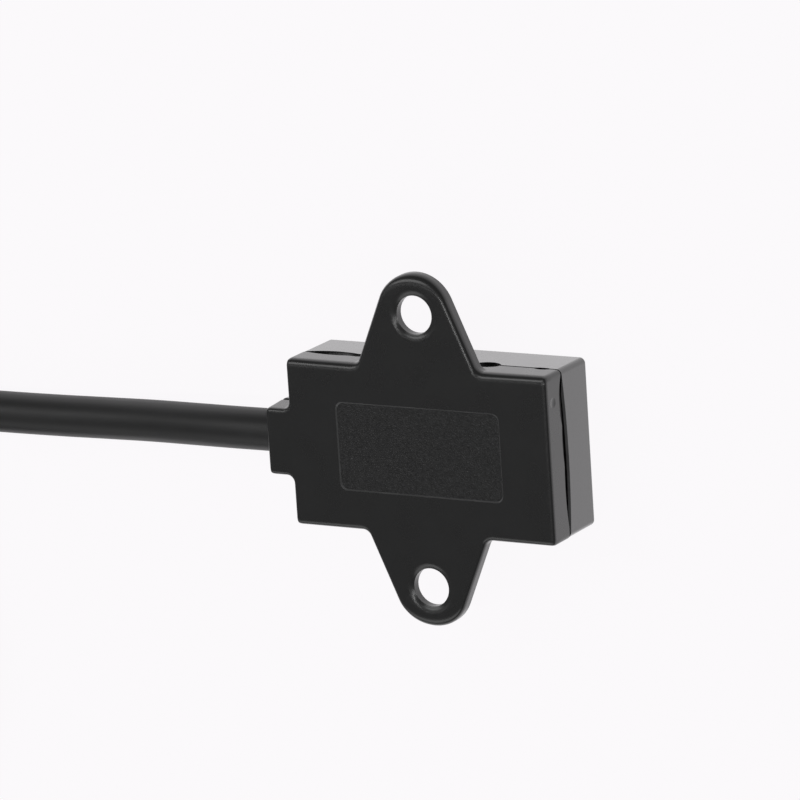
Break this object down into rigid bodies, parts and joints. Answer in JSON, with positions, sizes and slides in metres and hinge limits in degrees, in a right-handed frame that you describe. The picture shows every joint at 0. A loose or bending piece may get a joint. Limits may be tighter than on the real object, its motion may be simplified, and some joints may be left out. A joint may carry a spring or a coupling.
{
  "type": "capacitive level sensor",
  "caption": "Flat capacitive level sensor: a rectangular plastic housing with a mounting ear on each long side and a round cable that ends in a small plug.",
  "frame": {"origin": "centre of the flat sensing face, which is pressed against the tank wall", "axes": "+Z points from the sensing face out of the front cover, +Y runs from one mounting ear to the other, -X is the side where the cable leaves"},
  "size_m": [0.1318, 0.0747, 0.0088],
  "materials": {
    "housing_plastic": "moulded black, satin with a fine spark texture",
    "adhesive": "black glue bead and sealing compound",
    "cable_sheath": "smooth black PVC sheath",
    "shrink_sleeve": "black heat-shrink tube",
    "tie_tape": "black fabric tape",
    "steel_ring": "plain crimped steel",
    "board_laminate": "green solder mask on glass laminate",
    "copper": "etched copper foil, used for the electrode and its guard ring",
    "tape": "double-sided adhesive film",
    "chip_package": "moulded epoxy package with tinned legs",
    "ceramic": "fired ceramic with tinned ends",
    "resistor_film": "black glazed film with tinned ends",
    "solder": "bright solder",
    "insulation_brown": "brown PVC insulation",
    "insulation_white": "white PVC insulation",
    "insulation_blue": "blue PVC insulation",
    "insulation_black": "black PVC insulation",
    "plug_nylon": "natural nylon",
    "contact_metal": "tin-plated phosphor bronze"
  },
  "bodies": {
    "root": {"front_cover": "housing_plastic", "rear_housing": "housing_plastic", "seam_adhesive": "adhesive", "entry_sealant": "adhesive", "strain_ring": "steel_ring", "circuit_board": "board_laminate", "sensing_electrode": "copper", "guard_ring": "copper", "electrode_tape": "tape", "touch_controller": "chip_package", "voltage_regulator": "chip_package", "output_transistor": "chip_package", "protection_diode": "chip_package", "ceramic_capacitors": "ceramic", "chip_resistors": "resistor_film", "solder_joints": "solder", "core_brown": "insulation_brown", "core_white": "insulation_white", "core_blue": "insulation_blue", "core_black": "insulation_black", "cable_jacket": "cable_sheath", "cable_coil": "cable_sheath", "coil_tie": "tie_tape", "cable_tail": "cable_sheath", "end_sleeve": "shrink_sleeve", "lead_brown": "insulation_brown", "lead_white": "insulation_white", "lead_blue": "insulation_blue", "lead_black": "insulation_black", "connector_housing": "plug_nylon", "crimp_terminals": "contact_metal"}
  },
  "joints": []
}
